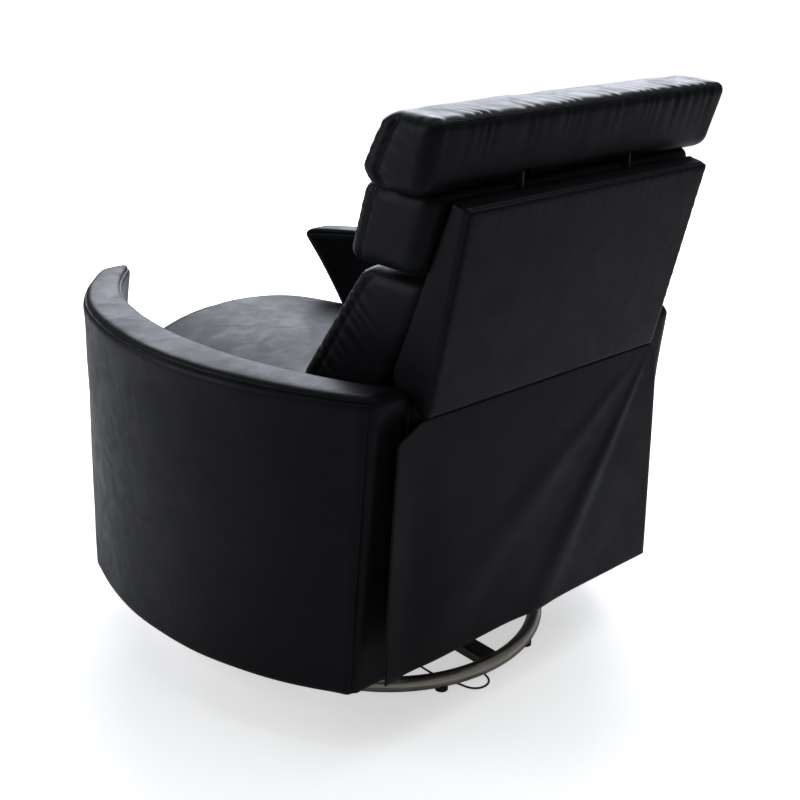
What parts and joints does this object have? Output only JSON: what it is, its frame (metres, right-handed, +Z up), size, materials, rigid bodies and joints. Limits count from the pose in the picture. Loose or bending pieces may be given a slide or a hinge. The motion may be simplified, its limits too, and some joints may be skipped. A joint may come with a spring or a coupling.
{
  "type": "swivel power recliner",
  "caption": "Barrel-arm power recliner with a tilting headrest and fold-out footrest, turning on a round ring base.",
  "frame": {"origin": "on the floor, under the middle of the chair's outline", "axes": "+Z up, the sitter faces -Y, the sitter's left arm is on +X"},
  "size_m": [0.9698, 1.0567, 1.0479],
  "materials": {
    "base_metal": "satin gunmetal nickel",
    "dark_plastic": "matte black moulding",
    "bearing_steel": "bright zinc",
    "frame_steel": "satin black powder coat",
    "rail_aluminium": "extruded",
    "plywood": "raw birch plywood",
    "webbing": "woven elastic",
    "leather": "semi-aniline, fine grain",
    "button_plastic": "satin",
    "lead_rubber": "matte"
  },
  "bodies": {
    "base": {"base_ring": "base_metal", "base_glides": "dark_plastic", "base_spokes": "base_metal", "base_hub": "base_metal", "bearing_ring": "bearing_steel", "king_pin": "bearing_steel", "swivel_nut": "bearing_steel", "lead_gland": "dark_plastic", "power_lead": "lead_rubber", "lead_coil": "lead_rubber", "lead_plug": "lead_rubber"},
    "chair": {"swivel_plate": "frame_steel", "mount_channels": "frame_steel", "cross_tube_front": "frame_steel", "cross_tube_rear": "frame_steel", "side_panel_left": "plywood", "side_panel_right": "plywood", "front_rail": "plywood", "rear_rail": "plywood", "seat_webbing": "webbing", "arm_left": "leather", "arm_right": "leather", "control_panel": "dark_plastic", "arm_stays": "plywood", "seat_cushion": "leather", "mechanism_plates": "frame_steel", "chair_pivot_pins": "bearing_steel", "leg_motor": "dark_plastic", "leg_drive_rail": "rail_aluminium", "drive_supports": "frame_steel", "back_motor": "dark_plastic", "back_drive_rail": "rail_aluminium"},
    "back": {"back_shell": "leather", "back_frame": "plywood", "back_brackets": "frame_steel", "back_lever_bar": "frame_steel", "lumbar_cushion": "leather", "upper_cushion": "leather", "headrest_arms": "frame_steel", "back_skirt": "leather"},
    "headrest": {"headrest": "leather", "headrest_pins": "bearing_steel"},
    "rear_link": {"rear_links": "frame_steel", "rear_link_pins": "bearing_steel", "torque_tube": "frame_steel", "drive_levers": "frame_steel", "drive_lever_bar": "frame_steel"},
    "long_link": {"long_links": "frame_steel", "long_link_pins": "bearing_steel"},
    "front_link": {"front_links": "frame_steel", "front_link_pins": "bearing_steel"},
    "short_link": {"short_links": "frame_steel", "short_link_studs": "bearing_steel"},
    "footrest": {"foot_brackets": "frame_steel", "foot_board": "plywood", "foot_pad": "leather"},
    "leg_block": {"leg_drive_block": "dark_plastic"},
    "back_block": {"back_drive_block": "dark_plastic"},
    "recline_button": {"button_recline": "button_plastic"},
    "return_button": {"button_return": "button_plastic"}
  },
  "joints": [
    {"name": "swivel", "type": "hinge", "parent": "base", "child": "chair", "pos_m": [0, 0.062, 0], "axis": [0, 0, 1], "continuous": true},
    {"name": "recline", "type": "hinge", "parent": "chair", "child": "back", "pos_m": [0, 0.297, 0.4], "axis": [-1, 0, 0], "range_deg": [0, 35], "deforming": ["back_skirt"]},
    {"name": "headrest_tilt", "type": "hinge", "parent": "back", "child": "headrest", "pos_m": [0, 0.382, 0.966], "axis": [1, 0, 0], "range_deg": [0, 30]},
    {"name": "footrest", "type": "hinge", "parent": "chair", "child": "rear_link", "pos_m": [0, -0.208, 0.3], "axis": [-1, 0, 0], "range_deg": [0, 110]},
    {"name": "long_link_knee", "type": "hinge", "parent": "rear_link", "child": "long_link", "pos_m": [0, -0.09142, 0.11343], "axis": [-1, 0, 0], "range_deg": [-113, 0]},
    {"name": "board_pivot", "type": "hinge", "parent": "long_link", "child": "footrest", "pos_m": [0, -0.40202, 0.25172], "axis": [-1, 0, 0], "range_deg": [0, 99]},
    {"name": "front_link_pivot", "type": "hinge", "parent": "chair", "child": "front_link", "pos_m": [0, -0.283, 0.335], "axis": [-1, 0, 0], "range_deg": [0, 109.77]},
    {"name": "short_link_pivot", "type": "hinge", "parent": "front_link", "child": "short_link", "pos_m": [0, -0.12913, 0.08719], "axis": [-1, 0, 0], "range_deg": [-106.76, 0]},
    {"name": "leg_drive", "type": "slide", "parent": "chair", "child": "leg_block", "axis": [0, -1, 0], "range_m": [0, 0.10257]},
    {"name": "back_drive", "type": "slide", "parent": "chair", "child": "back_block", "axis": [0, -1, 0], "range_m": [0, 0.05262]},
    {"name": "recline_press", "type": "slide", "parent": "chair", "child": "recline_button", "axis": [0.9781, -0.2079, 0], "range_m": [0, 0.0015], "stiffness_N_per_m": 600, "springref_m": -0.001},
    {"name": "return_press", "type": "slide", "parent": "chair", "child": "return_button", "axis": [0.9781, -0.2079, 0], "range_m": [0, 0.0015], "stiffness_N_per_m": 600, "springref_m": -0.001}
  ],
  "couplings": [
    {"joint": "long_link_knee", "follows": "footrest", "ratio": -1.0182},
    {"joint": "board_pivot", "follows": "footrest", "ratio": 0.89091},
    {"joint": "front_link_pivot", "follows": "footrest", "ratio": 0.98879},
    {"joint": "short_link_pivot", "follows": "footrest", "ratio": -0.96142},
    {"joint": "leg_drive", "follows": "footrest", "m_per_rad": 0.052907},
    {"joint": "back_drive", "follows": "recline", "m_per_rad": 0.084506}
  ]
}
